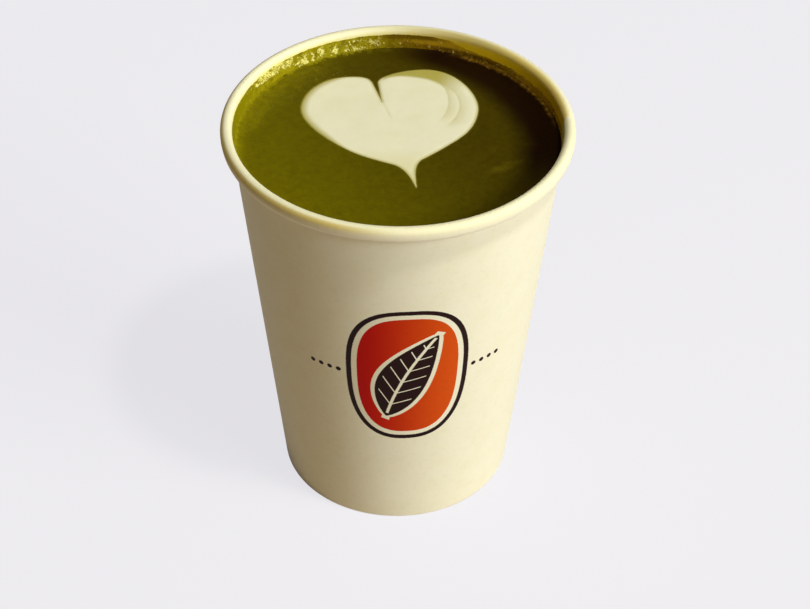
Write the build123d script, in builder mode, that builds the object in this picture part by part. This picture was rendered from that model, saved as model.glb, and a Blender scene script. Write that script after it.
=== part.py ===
from build123d import *
import math
import os

# A hot drink in a single-wall paper cup: a conical side wall with a rolled
# brim, a lap seam and a hem at the foot, a recessed bottom whose skirt is held
# in that hem, the drink up to its level, and a heart of milk foam let into it.
# Millimetres, +Z up. The origin is the centre of the foot, on the table.

# --- Cup ---
RIM_DIAMETER = 90.0        # outside of the rolled brim
FOOT_DIAMETER = 61.6       # outside of the wall at the table
CUP_HEIGHT = 110.0         # table to the top of the brim
WALL_BOARD = 0.4           # coated board of the side wall
BOTTOM_BOARD = 0.4         # coated board of the bottom
BRIM_DIAMETER = 3.0        # the roll at the rim, outside
BRIM_DROP = 1.2            # straight stretch down the outside of the roll
BRIM_TURN = 290.0          # degrees that the roll goes round before its edge
RECESS_HEIGHT = 9.5        # table to the underside of the bottom
HEM_GAP = 1.5              # from the edge of the folded-up wall to the bottom above it
FOLD_RADIUS = 0.35         # outside bends of the fold that stands on the table
SKIRT_BEND = 0.8           # inside bend where the bottom turns down
HEM_CLEARANCE = 0.05       # between the bottom's skirt and the folded wall

# --- Side seam ---
SEAM_WIDTH = 7.4           # overlap of the wall's two edges
SEAM_CENTRE = -2.5         # degrees from +X to the middle of the overlap

# --- Drink ---
LEVEL_BELOW_RIM = 6.0      # top of the brim down to the drink
DRINK_CLEARANCE = 0.1      # between the drink and the wall

# --- Heart of milk foam ---
HEART_WIDTH = 45.6         # across the two lobes
HEART_LENGTH = 51.6        # top of the lobes to the tip of the tail
HEART_X = -2.1             # centre of that box, from the cup's axis
HEART_Y = 6.0
FOAM_DEPTH = 3.0           # how deep the foam sits in the drink
FOAM_PROUD = 0.2           # how far it stands above the drink

# --- Worked out from the sizes above ---
foot_radius = FOOT_DIAMETER / 2
brim_radius = BRIM_DIAMETER / 2
brim_hollow = brim_radius - WALL_BOARD
brim_centre = Vector(RIM_DIAMETER / 2 - brim_radius, CUP_HEIGHT - brim_radius)
level = CUP_HEIGHT - LEVEL_BELOW_RIM
floor_top = RECESS_HEIGHT + BOTTOM_BOARD
hem_pocket = BOTTOM_BOARD + 2 * HEM_CLEARANCE
hem_height = RECESS_HEIGHT - HEM_GAP

# The wall's outer face runs from the foot and touches the hollow of the brim
# from inside, so its slope is that of a tangent from a point to a circle.
reach = brim_centre - Vector(foot_radius, 0)
slope = math.atan2(reach.X, reach.Y) - math.asin(brim_hollow / reach.length)
up_wall = Vector(math.sin(slope), math.cos(slope))
off_wall = Vector(math.cos(slope), -math.sin(slope))


def wall_at(height, depth):
    """A point at a height above the table and a depth in from the wall's outer face."""
    return (foot_radius + height * math.tan(slope) - depth / math.cos(slope), height)


def brim_at(radius, turn, drop=0):
    """A point of the rolled brim, its turn counted from the wall over the top, or as far down as the drop."""
    angle = math.radians(turn)
    centre = brim_centre - up_wall * drop
    point = centre - off_wall * (radius * math.cos(angle)) + up_wall * (radius * math.sin(angle))
    return (point.X, point.Y)


def brim_roll(radius):
    """The brim's roll, drawn from the wall: over the top, straight down the outside and round below."""
    over = (0, 90, 180)
    below = (180, (180 + BRIM_TURN) / 2, BRIM_TURN)
    ThreePointArc(*[brim_at(radius, turn) for turn in over])
    Line(brim_at(radius, 180), brim_at(radius, 180, BRIM_DROP))
    ThreePointArc(*[brim_at(radius, turn, BRIM_DROP) for turn in below])


def heart_at(across, along):
    """A point of the heart's outline, in shares of its box from the box's centre."""
    return (HEART_X + across * HEART_WIDTH, HEART_Y + along * HEART_LENGTH)


def draw_heart():
    """The heart's closed outline, stretch by stretch: each curve is a Bezier with its own handles."""
    cleft = heart_at(-0.046, 0.212)
    left_shoulder = heart_at(-0.101, 0.368)
    left_top = heart_at(-0.211, 0.432)
    left_extreme = heart_at(-0.500, 0.153)
    left_flank = heart_at(-0.305, -0.138)
    tail_left = heart_at(0.013, -0.310)
    tip = heart_at(0.149, -0.500)
    tail_right = heart_at(0.191, -0.262)
    right_flank = heart_at(0.436, -0.039)
    right_extreme = heart_at(0.500, 0.165)
    right_top = heart_at(0.197, 0.500)
    right_shoulder = heart_at(-0.070, 0.380)

    Line(cleft, left_shoulder)
    Bezier(left_shoulder, heart_at(-0.116, 0.412), heart_at(-0.138, 0.432), left_top)
    Bezier(left_top, heart_at(-0.385, 0.432), heart_at(-0.500, 0.296), left_extreme)
    Bezier(left_extreme, heart_at(-0.500, 0.048), heart_at(-0.388, -0.065), left_flank)
    Bezier(left_flank, heart_at(-0.202, -0.229), heart_at(-0.131, -0.257), tail_left)
    Bezier(tail_left, heart_at(0.091, -0.339), heart_at(0.120, -0.428), tip)
    Bezier(tip, heart_at(0.145, -0.418), heart_at(0.122, -0.312), tail_right)
    Bezier(tail_right, heart_at(0.264, -0.209), heart_at(0.396, -0.099), right_flank)
    Bezier(right_flank, heart_at(0.487, 0.035), heart_at(0.500, 0.123), right_extreme)
    Bezier(right_extreme, heart_at(0.500, 0.289), heart_at(0.386, 0.500), right_top)
    Bezier(right_top, heart_at(0.112, 0.500), heart_at(-0.070, 0.451), right_shoulder)
    Line(right_shoulder, cleft)


def turned_plane(degrees):
    """The upright plane through the axis that faces a number of degrees round from +X."""
    angle = math.radians(degrees)
    return Plane(
        origin=(0, 0, 0),
        x_dir=(math.cos(angle), math.sin(angle), 0),
        z_dir=(math.sin(angle), -math.cos(angle), 0),
    )


def wall_profile(start, proud):
    """The side wall's profile from hem to brim, its outer face flush with the cone or proud of it."""
    hem_in = WALL_BOARD + hem_pocket
    with BuildSketch(turned_plane(start)) as profile:
        with BuildLine():
            Line(wall_at(0, -proud), brim_at(brim_hollow - proud, 0))
            if proud > 0:
                Line(brim_at(brim_hollow - proud, 0), brim_at(brim_hollow, 0))
            brim_roll(brim_hollow)
            Line(brim_at(brim_hollow, BRIM_TURN, BRIM_DROP), brim_at(brim_radius, BRIM_TURN, BRIM_DROP))
            brim_roll(brim_radius)
            Polyline(
                brim_at(brim_radius, 0),
                wall_at(WALL_BOARD, WALL_BOARD),
                wall_at(WALL_BOARD, hem_in),
                wall_at(hem_height, hem_in),
                wall_at(hem_height, hem_in + WALL_BOARD),
                wall_at(0, hem_in + WALL_BOARD),
                wall_at(0, -proud),
            )
        outline = make_face()
        fillet(outline.vertices().group_by(Axis.Y)[0], FOLD_RADIUS)
    return profile.sketch


# --- Side wall: one strip of board, a board's thickness proud where its edges lap ---
with BuildPart() as cup_wall:
    seam_turn = math.degrees(SEAM_WIDTH / (RIM_DIAMETER / 2))
    seam_start = SEAM_CENTRE - seam_turn / 2
    seam_end = seam_start + seam_turn
    revolve(wall_profile(seam_end, 0), axis=Axis.Z, revolution_arc=360 - seam_turn)
    revolve(wall_profile(seam_start, WALL_BOARD), axis=Axis.Z, revolution_arc=seam_turn)

# --- Bottom: a disc whose skirt hangs down in the pocket of the hem ---
with BuildPart() as cup_bottom:
    skirt_out = WALL_BOARD + HEM_CLEARANCE
    skirt_in = skirt_out + BOTTOM_BOARD
    skirt_foot = WALL_BOARD + HEM_CLEARANCE
    with BuildSketch(Plane.XZ):
        with BuildLine():
            Polyline(
                (0, RECESS_HEIGHT),
                wall_at(RECESS_HEIGHT, skirt_in),
                wall_at(skirt_foot, skirt_in),
                wall_at(skirt_foot, skirt_out),
                wall_at(floor_top, skirt_out),
                (0, floor_top),
                close=True,
            )
        disc = make_face()
        outer_corner = disc.vertices().sort_by_distance((*wall_at(floor_top, skirt_out), 0))[0]
        fillet(outer_corner, SKIRT_BEND + BOTTOM_BOARD)
    revolve(axis=Axis.Z)

# --- Heart of milk foam: a flat inlay that stands a little proud ---
with BuildPart() as milk_foam_heart:
    with BuildSketch(Plane.XY.offset(level + FOAM_PROUD)):
        with BuildLine():
            draw_heart()
        make_face()
    extrude(amount=-(FOAM_PROUD + FOAM_DEPTH))

# --- Drink: the cup's inside from the bottom to the level, cut out for the heart ---
with BuildPart() as matcha_drink:
    drink_edge = WALL_BOARD + DRINK_CLEARANCE
    with BuildSketch(Plane.XZ):
        with BuildLine():
            Polyline(
                (0, floor_top),
                wall_at(floor_top, drink_edge),
                wall_at(level, drink_edge),
                (0, level),
                close=True,
            )
        make_face()
    revolve(axis=Axis.Z)
    with BuildSketch(Plane.XY.offset(level)):
        with BuildLine():
            draw_heart()
        make_face()
    extrude(amount=-FOAM_DEPTH, mode=Mode.SUBTRACT)

cup_wall.part.label = "cup_wall"
cup_bottom.part.label = "cup_bottom"
matcha_drink.part.label = "matcha_drink"
milk_foam_heart.part.label = "milk_foam_heart"

os.makedirs("parts", exist_ok=True)
export_step(cup_wall.part, "parts/cup_wall.step")
export_step(cup_bottom.part, "parts/cup_bottom.step")
export_step(matcha_drink.part, "parts/matcha_drink.step")
export_step(milk_foam_heart.part, "parts/milk_foam_heart.step")
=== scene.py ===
"""A matcha latte in a single-wall paper cup: the looks of every piece and a plain stage.

The board pieces and the bubbles come from Geometry Nodes, the drink, the milk foam
and the dried film from meshes worked out here. Metres, +Z up, the foot on Z = 0.
"""

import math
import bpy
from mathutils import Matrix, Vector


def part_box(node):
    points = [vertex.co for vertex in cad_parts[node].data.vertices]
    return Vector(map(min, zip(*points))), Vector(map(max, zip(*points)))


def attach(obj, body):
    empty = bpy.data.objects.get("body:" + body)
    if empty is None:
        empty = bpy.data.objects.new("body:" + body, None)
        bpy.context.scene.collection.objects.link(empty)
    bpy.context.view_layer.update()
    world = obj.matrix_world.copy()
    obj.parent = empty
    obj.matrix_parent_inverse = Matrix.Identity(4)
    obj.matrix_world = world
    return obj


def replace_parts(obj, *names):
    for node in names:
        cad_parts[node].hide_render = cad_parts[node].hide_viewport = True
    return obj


bl_info = {
    "name": "Matcha Latte in a Paper Cup",
    "version": (1, 0, 0),
    "blender": (4, 5, 0),
    "location": "3D View > Sidebar > Matcha",
    "description": "Builds a paper cup, its matcha latte with a heart of milk foam, and a stage",
    "category": "Object",
}

import bmesh
import bpy
import numpy as np
from bpy.props import FloatProperty, FloatVectorProperty, IntProperty, PointerProperty
from mathutils import Matrix, Vector, geometry, noise

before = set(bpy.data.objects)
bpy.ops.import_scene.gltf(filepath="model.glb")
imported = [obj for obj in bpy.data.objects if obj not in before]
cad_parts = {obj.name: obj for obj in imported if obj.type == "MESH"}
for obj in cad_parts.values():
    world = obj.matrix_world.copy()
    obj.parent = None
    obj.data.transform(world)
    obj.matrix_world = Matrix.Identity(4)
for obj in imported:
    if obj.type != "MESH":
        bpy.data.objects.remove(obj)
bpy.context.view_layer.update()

MM = 0.001
SAME_PLACE = 0.002 * MM


# ---------------------------------------------------------------- sizes from the frame


def node_points(name):
    """The corners of a node of the frame, one row each."""
    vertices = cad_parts[name].data.vertices
    places = np.zeros(len(vertices) * 3)
    vertices.foreach_get("co", places)
    return places.reshape(-1, 3)


def drink_cone():
    """Radius of the drink at its level, and the tangent of the wall's lean."""
    low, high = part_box("matcha_drink")
    places = node_points("matcha_drink")
    radii = np.hypot(places[:, 0], places[:, 1])
    under = radii[places[:, 2] < low.z + 0.1 * MM].max()
    over = radii[places[:, 2] > high.z - 0.1 * MM].max()
    return over, (over - under) / (high.z - low.z)


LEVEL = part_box("matcha_drink")[1].z
DRINK_RADIUS, WALL_TAN = drink_cone()
LEAN = math.atan(WALL_TAN)
UP_WALL = Vector((math.sin(LEAN), math.cos(LEAN)))
OFF_WALL = Vector((math.cos(LEAN), -math.sin(LEAN)))
FLOOR_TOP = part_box("cup_bottom")[1].z
RIM_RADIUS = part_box("cup_wall")[1].x
CUP_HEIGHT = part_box("cup_wall")[1].z


def colour(red, green, blue):
    """A colour from its everyday 0 to 255 values."""
    shares = [value / 255 for value in (red, green, blue)]
    return tuple(s / 12.92 if s <= 0.04045 else ((s + 0.055) / 1.055) ** 2.4 for s in shares)


def size(name, description, default):
    """A length that a user can change."""
    return FloatProperty(
        name=name, description=description, default=default, min=0, unit="LENGTH", precision=5
    )


def turn(name, description, degrees):
    """An angle that a user can change."""
    return FloatProperty(
        name=name, description=description, default=math.radians(degrees), subtype="ANGLE"
    )


def tint(name, description, *values):
    """A colour that a user can change."""
    return FloatVectorProperty(
        name=name, description=description, default=colour(*values), subtype="COLOR", size=3, min=0, max=1
    )


class MatchaCupSizes(bpy.types.PropertyGroup):
    """Sizes of the paper cup"""

    board: size("Board", "Thickness of the coated board", 0.4 * MM)
    gap: size("Gap", "Room between the drink and the wall in the frame", 0.1 * MM)
    brim: size("Brim", "Outside radius of the rolled brim", 1.5 * MM)
    brim_drop: size("Brim Drop", "Straight stretch down the outside of the brim's roll", 1.2 * MM)
    brim_turn: turn("Brim Turn", "How far the brim rolls round", 290)
    hem: size("Hem", "Height of the wall's folded-up edge above the table", 8 * MM)
    pocket: size("Pocket", "Width of the hem's pocket, which holds the skirt of the bottom", 0.5 * MM)
    skirt: size("Skirt Foot", "Height of the bottom's skirt above the table", 0.45 * MM)
    corner: size("Corner", "Bend of the bottom into its skirt, at the middle of the board", 1 * MM)
    lap_width: size("Lap", "Width of the side seam", 7.4 * MM)
    lap_place: turn("Lap Place", "Middle of the side seam, round from +X", -2.5)
    columns: IntProperty(name="Columns", description="Steps round the cup", default=288, min=48, max=720)


class MatchaDrinkSizes(bpy.types.PropertyGroup):
    """Sizes of the drink and its milk foam"""

    climb: size("Climb", "How far the drink climbs the wall at its edge", 0.55 * MM)
    relief: size("Relief", "Unevenness of the drink's surface", 0.035 * MM)
    crown: size("Crown", "How far the foam stands above the drink", 0.07 * MM)
    shoulder: size("Shoulder", "Width of the foam's soft edge", 2 * MM)
    groove: size("Groove", "Depth of the rings that the pouring left in the foam", 0.035 * MM)
    grain: size("Grain", "Spacing of the foam's own mesh", 0.36 * MM)
    seed: IntProperty(name="Seed", description="Another number gives other bubbles", default=7)


class MatchaResidueSizes(bpy.types.PropertyGroup):
    """Sizes of what the drink left on the wall"""

    thickness: size("Thickness", "Thickness of the dried film", 0.1 * MM)
    bubble: size("Bubble", "Radius of the largest bubble", 0.27 * MM)
    density: FloatProperty(
        name="Density", description="Bubbles to a square metre where they are thickest", default=1.2e7, min=0
    )


class MatchaColours(bpy.types.PropertyGroup):
    """Colours of the whole piece"""

    board: tint("Board", "Outer colour of the cup's board", 243, 243, 220)
    board_inside: tint("Board Inside", "Inner colour of the cup's board and of its brim", 245, 241, 200)
    # Partly painted light: the stain's strong yellow stands in for light bounced from the drink and glowing
    # through the board.
    stain: tint("Stain", "Inner wall, darkened close to the drink", 255, 214, 20)
    badge_left: tint("Badge Left", "Print, left side of the badge", 190, 8, 0)
    badge_right: tint("Badge Right", "Print, right side of the badge", 214, 82, 10)
    ink: tint("Ink", "Darkest ink of the print", 34, 8, 5)
    matcha: tint("Matcha", "Drink, where it is thickest with fine foam", 106, 98, 2)
    # Partly painted shade: the drink is darker towards the right, where the wall shades it, as well as where
    # less fine foam lies.
    matcha_deep_and_shaded: tint("Deep Matcha", "Drink, where no fine foam lies on it", 60, 48, 2)
    # Painted shadow: the drink where the brim shades it along the wall.
    matcha_painted_shadow: tint("Dark Matcha", "Drink along the wall under the seam", 24, 6, 3)
    milk: tint("Milk Foam", "Foam of the heart", 244, 242, 207)
    milk_edge: tint("Foam Edge", "Foam where matcha has run into it", 184, 174, 84)
    film: tint("Film", "Dried matcha on the wall", 156, 144, 14)
    film_dark: tint("Dark Film", "Dried matcha where it is dense", 118, 88, 6)
    froth: tint("Froth", "Bubbles left on the wall", 247, 240, 138)


class MatchaStageSettings(bpy.types.PropertyGroup):
    """Floor, light and camera"""

    floor: tint("Floor", "Colour of the floor and all that lies behind", 239, 238, 243)
    key: FloatProperty(
        name="Key", description="Light from the right, at which 1 shows a colour as it is", default=0.84
    )
    top: FloatProperty(name="Top", description="Light from above", default=0.45)
    sky: FloatProperty(name="Sky", description="Light from all round", default=0.077)
    lens: FloatProperty(name="Lens", description="Focal length", default=106.217, subtype="DISTANCE_CAMERA")


# ---------------------------------------------------------------- nodes as expressions


def socket_of(sockets, key):
    """A socket by its place, its identifier or its name."""
    if isinstance(key, int):
        return sockets[key]
    for socket in sockets:
        if socket.identifier == key:
            return socket
    return sockets[key]


def arithmetic(operation, swapped=False):
    """A method of Value that adds a Math node; swapped puts the value itself last."""
    def method(self, *others):
        inputs = (*others, self) if swapped else (self, *others)
        return self.tree.add("ShaderNodeMath", dict(enumerate(inputs)), operation=operation)
    return method


class Value:
    """An output of a node. Arithmetic on it adds the Math nodes."""

    def __init__(self, tree, socket):
        self.tree = tree
        self.socket = socket

    __add__ = arithmetic("ADD")
    __radd__ = arithmetic("ADD", swapped=True)
    __sub__ = arithmetic("SUBTRACT")
    __rsub__ = arithmetic("SUBTRACT", swapped=True)
    __mul__ = arithmetic("MULTIPLY")
    __rmul__ = arithmetic("MULTIPLY", swapped=True)
    __truediv__ = arithmetic("DIVIDE")
    __rtruediv__ = arithmetic("DIVIDE", swapped=True)
    __pow__ = arithmetic("POWER")
    __mod__ = arithmetic("FLOORED_MODULO")
    __abs__ = arithmetic("ABSOLUTE")
    __lt__ = arithmetic("LESS_THAN")
    __gt__ = arithmetic("GREATER_THAN")
    least = arithmetic("MINIMUM")
    most = arithmetic("MAXIMUM")
    sine = arithmetic("SINE")
    cosine = arithmetic("COSINE")
    arctan2 = arithmetic("ARCTAN2")
    whole = arithmetic("FLOOR")

    def held(self, low=0, high=1):
        return self.most(low).least(high)

    def eased(self, low, high):
        """0 below low, 1 above high, and smooth between; low may be the greater."""
        return self.tree.add(
            "ShaderNodeMapRange",
            {"Value": self, "From Min": low, "From Max": high, "To Min": 0, "To Max": 1},
            interpolation_type="SMOOTHSTEP",
        )

    def other(self, name):
        """Another output of the same node."""
        return Value(self.tree, socket_of(self.socket.node.outputs, name))


NODES_PER_ROW = 14


class Nodes:
    """A node tree that is written as expressions."""

    def __init__(self, tree):
        self.tree = tree

    def add(self, kind, inputs=None, output=0, **settings):
        """A node of a type, with the values or links of its sockets, the output wanted and its settings."""
        node = self.tree.nodes.new(kind)
        row, column = divmod(len(self.tree.nodes), NODES_PER_ROW)
        node.location = (180 * column, -240 * row)
        for name, value in settings.items():
            setattr(node, name, value)
        for key, value in (inputs or {}).items():
            socket = socket_of(node.inputs, key)
            if isinstance(value, Value):
                self.tree.links.new(value.socket, socket)
            else:
                socket.default_value = value
        return Value(self, socket_of(node.outputs, output))


class Finish(Nodes):
    """A material: its pattern is read from Object coordinates and the piece's own attributes."""

    def __init__(self, name):
        self.material = bpy.data.materials.new(name)
        self.material.use_nodes = True
        super().__init__(self.material.node_tree)
        self.tree.nodes.clear()
        self.place = self.add("ShaderNodeTexCoord", output="Object")
        self.x = self.add("ShaderNodeSeparateXYZ", {0: self.place})
        self.y = self.x.other("Y")
        self.z = self.x.other("Z")
        self.x_mm = self.x / MM
        self.y_mm = self.y / MM

    def attribute(self, name):
        return self.add("ShaderNodeAttribute", output="Fac", attribute_name=name)

    def drawn_out(self, share):
        """The place, for patterns that are drawn out along Z as this share falls."""
        return self.add("ShaderNodeMapping", {"Vector": self.place, "Scale": (1, 1, share)})

    def noise(self, scale, detail=3.0, roughness=0.5, distortion=0.0, vector=None):
        return self.add("ShaderNodeTexNoise", {
            "Vector": vector or self.place, "Scale": scale,
            "Detail": detail, "Roughness": roughness, "Distortion": distortion,
        })

    def cells(self, scale):
        """Distance from the nearest of a scatter of points, 0 at a point."""
        return self.add("ShaderNodeTexVoronoi", {"Vector": self.place, "Scale": scale})

    def mix(self, factor, under, over):
        """Colour under, changing to colour over as the factor goes to 1."""
        def full(paint):
            return paint if isinstance(paint, Value) else (*paint, 1.0)
        inputs = {"Factor_Float": factor, "A_Color": full(under), "B_Color": full(over)}
        return self.add("ShaderNodeMix", inputs, "Result_Color", data_type="RGBA")

    def layered(self, paint, *layers):
        """A colour with others over it; each layer is how much of it shows, then its colour."""
        for share, over in layers:
            paint = self.mix(share, paint, over)
        return paint

    def shade(self, paint, factor):
        """The colour made darker or lighter by a factor that varies."""
        scale = self.add("ShaderNodeCombineXYZ", {0: factor, 1: factor, 2: factor})
        return self.add("ShaderNodeVectorMath", {0: paint, 1: scale}, operation="MULTIPLY")

    def done(self, paint, roughness, height, relief, **sockets):
        """Ends the material in a Principled shader, its height raised by a relief in metres."""
        bump = self.add("ShaderNodeBump", {"Height": height, "Distance": relief})
        inputs = {"Base Color": paint, "Roughness": roughness, "Normal": bump}
        inputs |= {name.replace("_", " "): value for name, value in sockets.items()}
        return self.ended(self.add("ShaderNodeBsdfPrincipled", inputs))

    def ended(self, shader):
        """Ends the material in a shader."""
        output = self.tree.nodes.new("ShaderNodeOutputMaterial")
        self.tree.links.new(shader.socket, output.inputs["Surface"])
        return self.material


class Shape(Nodes):
    """A Geometry Nodes tree with named inputs, whose result becomes a plain mesh."""

    KINDS = {float: "NodeSocketFloat", int: "NodeSocketInt", bpy.types.Material: "NodeSocketMaterial"}

    def __init__(self, name, inputs):
        super().__init__(bpy.data.node_groups.new(name, "GeometryNodeTree"))
        self.tree.is_modifier = True
        self.values = dict(inputs)
        self.tree.interface.new_socket("Geometry", in_out="INPUT", socket_type="NodeSocketGeometry")
        for label, value in inputs.items():
            self.tree.interface.new_socket(label, in_out="INPUT", socket_type=self.KINDS[type(value)])
        self.tree.interface.new_socket("Geometry", in_out="OUTPUT", socket_type="NodeSocketGeometry")
        self.group = self.tree.nodes.new("NodeGroupInput")

    def input(self, label):
        return Value(self, self.group.outputs[label])

    def stored(self, geometry, label, value):
        """The geometry with a number kept at each of its points."""
        inputs = {"Geometry": geometry, "Name": label, "Value": value}
        return self.add("GeometryNodeStoreNamedAttribute", inputs, data_type="FLOAT", domain="POINT")

    def finish(self, result):
        """Ends the tree: instances made real, then the material."""
        real = self.add("GeometryNodeRealizeInstances", {0: result})
        painted = self.add("GeometryNodeSetMaterial", {"Geometry": real, "Material": self.input("Finish")})
        output = self.tree.nodes.new("NodeGroupOutput")
        self.tree.links.new(painted.socket, output.inputs[0])

    def made(self, name, base=None):
        """Runs the tree on a mesh and gives a plain mesh object."""
        start = placed(name + "_start", base or bpy.data.meshes.new(name + "_start"))
        modifier = start.modifiers.new("shape", "NODES")
        modifier.node_group = self.tree
        for item in self.tree.interface.items_tree:
            if item.in_out == "INPUT" and item.name in self.values:
                modifier[item.identifier] = self.values[item.name]
        bpy.context.view_layer.update()
        evaluated = start.evaluated_get(bpy.context.evaluated_depsgraph_get())
        mesh = bpy.data.meshes.new_from_object(evaluated)
        bpy.data.objects.remove(start)
        if not len(mesh.polygons):
            raise RuntimeError(f"{name}: the tree made no faces")
        return piece(name, mesh)


# ---------------------------------------------------------------- meshes


def placed(name, data):
    """A new object of the scene, at the origin."""
    made = bpy.data.objects.new(name, data)
    bpy.context.scene.collection.objects.link(made)
    return made


def piece(name, mesh):
    """A finished piece, which stays with the cup."""
    mesh.name = name
    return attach(placed(name, mesh), "root")


def smooth(made, angle):
    """Smooth shading, with edges sharper than the angle left sharp."""
    mesh = made.data
    mesh.polygons.foreach_set("use_smooth", [True] * len(mesh.polygons))
    mesh.set_sharp_from_angle(angle=math.radians(angle))
    return made


def tidied(mesh):
    """Doubles merged, so that poles and seams are closed, and no loose edge left."""
    work = bmesh.new()
    work.from_mesh(mesh)
    bmesh.ops.remove_doubles(work, verts=work.verts, dist=SAME_PLACE)
    loose = [edge for edge in work.edges if not edge.link_faces]
    bmesh.ops.delete(work, geom=loose, context="EDGES")
    loose = [corner for corner in work.verts if not corner.link_faces]
    bmesh.ops.delete(work, geom=loose, context="VERTS")
    work.to_mesh(mesh)
    work.free()
    return mesh


def store(mesh, values):
    """Keeps a number for each corner of a mesh under each name."""
    for label, numbers in values.items():
        layer = mesh.attributes.new(label, "FLOAT", "POINT")
        layer.data.foreach_set("value", np.ascontiguousarray(numbers, np.float32).ravel())


def turned_mesh(name, places, values):
    """A closed skin from rows of places, each row a ring round the axis; values are kept for each place."""
    rows, columns = places.shape[:2]
    index = np.arange(rows * columns).reshape(rows, columns)
    beside = np.roll(index, -1, axis=1)
    quads = np.stack([index[1:], beside[1:], beside[:-1], index[:-1]], axis=-1).reshape(-1, 4)
    mesh = bpy.data.meshes.new(name)
    mesh.from_pydata(places.reshape(-1, 3).tolist(), [], quads.tolist())
    store(mesh, values)
    return tidied(mesh)


def eased(value, low, high):
    """0 below low, 1 above high and smooth between, for numbers."""
    share = np.clip((value - low) / (high - low), 0, 1)
    return share * share * (3 - 2 * share)


def rough(places, scale, seed, octaves=3):
    """Smooth noise, about -1 to 1, at each place; scale is the size of its lumps."""
    shift = Vector((seed * 3.1, seed * 1.7, seed * 0.9))
    flat = places.reshape(-1, 3) / scale
    values = [noise.fractal(Vector(p) + shift, 1.0, 2.0, octaves) for p in flat]
    return np.array(values).reshape(places.shape[:-1])


def polar(radius, angle, height):
    """Places from a radius, an angle from +X and a height."""
    radius, angle, height = np.broadcast_arrays(radius, angle, height)
    return np.stack([radius * np.cos(angle), radius * np.sin(angle), height], axis=-1)


def inner_wall(height):
    """Radius of the wall's inner face at a height."""
    cup = bpy.context.scene.matcha_cup
    return DRINK_RADIUS + cup.gap / math.cos(LEAN) + (height - LEVEL) * WALL_TAN


def below_face(height, depth):
    """A point of the cup's profile, at a height and at a depth in from the wall's outer face."""
    cup = bpy.context.scene.matcha_cup
    face = inner_wall(0) + cup.board / math.cos(LEAN)
    return Vector((face + height * WALL_TAN - depth / math.cos(LEAN), height))


# ---------------------------------------------------------------- paper cup


def lapped_columns(get, column):
    """Each column's angle round the axis, and how far the lap lifts its outer face, then both its faces.

    Columns stand close together at the two edges of the lap, so that its steps are crisp:
    edge is the angle between them there, and across is how many lie between the edges.
    """
    lap = get("Lap Turn")
    across = 8
    edge = 0.0006
    rest = (2 * math.pi - lap - 2 * edge) / (get("Columns") - 2 - across)
    angle = (
        get("Lap Start")
        + column.held() * edge
        + (column - 1).held(0, across) * lap / across
        + (column - 1 - across).held() * edge
        + (column - 2 - across).most(0) * rest
    )
    # The outer edge is pared thin, and the wall bends back in beyond the inner one.
    past = angle - get("Lap Start")
    lapped = (past > edge / 2) * (past < lap + 1.5 * edge) * (0.3 + 0.7 * past / lap)
    beyond = past - lap - 1.5 * edge
    easing = (beyond > 0) * (1 - beyond / get("Lap Fade")).held() ** 1.5
    return angle, lapped, easing


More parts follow.
